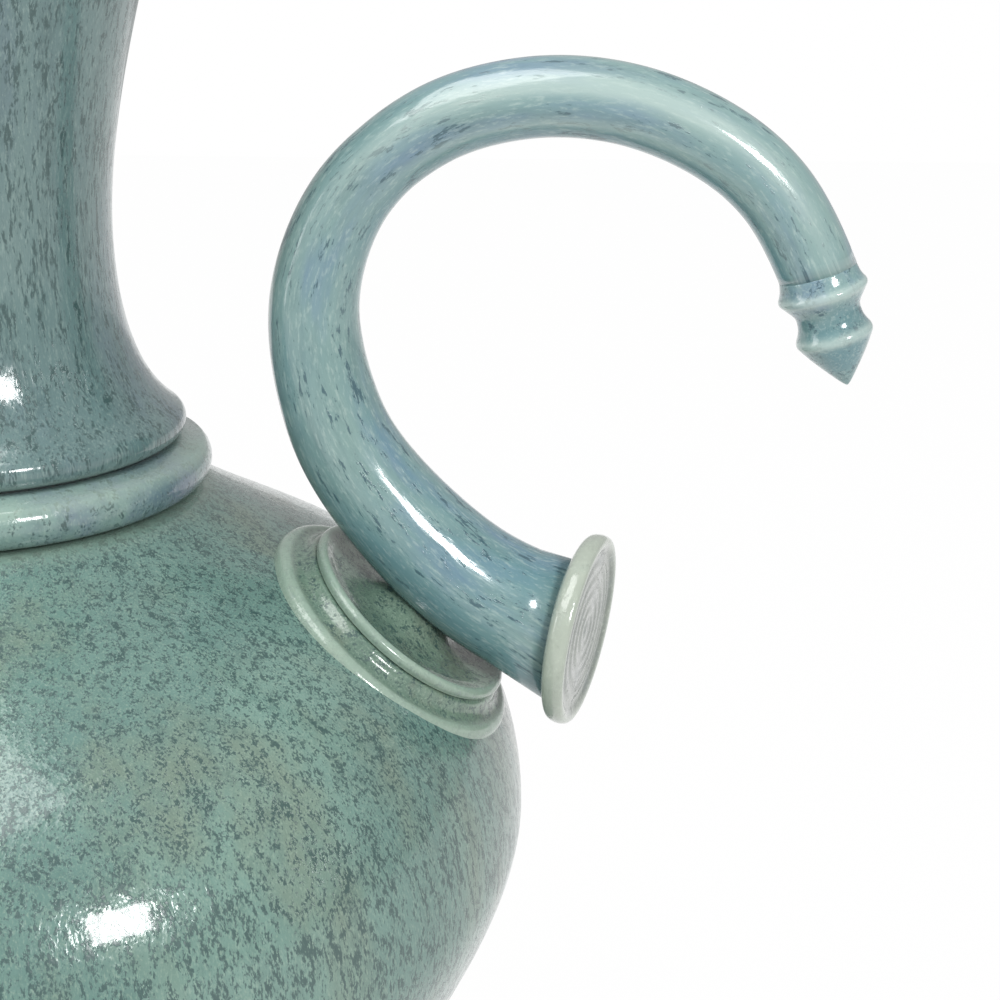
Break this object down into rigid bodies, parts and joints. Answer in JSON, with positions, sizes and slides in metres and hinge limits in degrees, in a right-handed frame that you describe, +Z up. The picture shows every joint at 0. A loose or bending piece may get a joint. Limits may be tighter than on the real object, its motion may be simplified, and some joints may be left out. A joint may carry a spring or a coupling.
{
  "type": "pottery vase",
  "caption": "Tall glazed pottery vase with a wide shoulder, a waisted flaring neck and curled horn handles on stepped pads.",
  "frame": {"origin": "centre of the underside of the foot", "axes": "+Z up along the axis of the pot; one horn towards +X and the other towards -X"},
  "size_m": [0.358, 0.2216, 0.3716],
  "materials": {
    "bare_clay": "matte",
    "jar_glaze": "gloss",
    "collar_glaze": "gloss",
    "neck_glaze": "gloss",
    "pad_glaze": "gloss",
    "horn_glaze": "gloss",
    "disc_glaze": "gloss"
  },
  "bodies": {
    "root": {"foot_ring": "bare_clay", "vase_jar": "jar_glaze", "collar_ring": "collar_glaze", "vase_neck": "neck_glaze", "pad_base_right": "pad_glaze", "pad_base_left": "pad_glaze", "pad_seat_right": "pad_glaze", "pad_seat_left": "pad_glaze", "horn_tube_right": "horn_glaze", "horn_tube_left": "horn_glaze", "horn_disc_right": "disc_glaze", "horn_disc_left": "disc_glaze", "horn_finial_right": "horn_glaze", "horn_finial_left": "horn_glaze"}
  },
  "joints": []
}
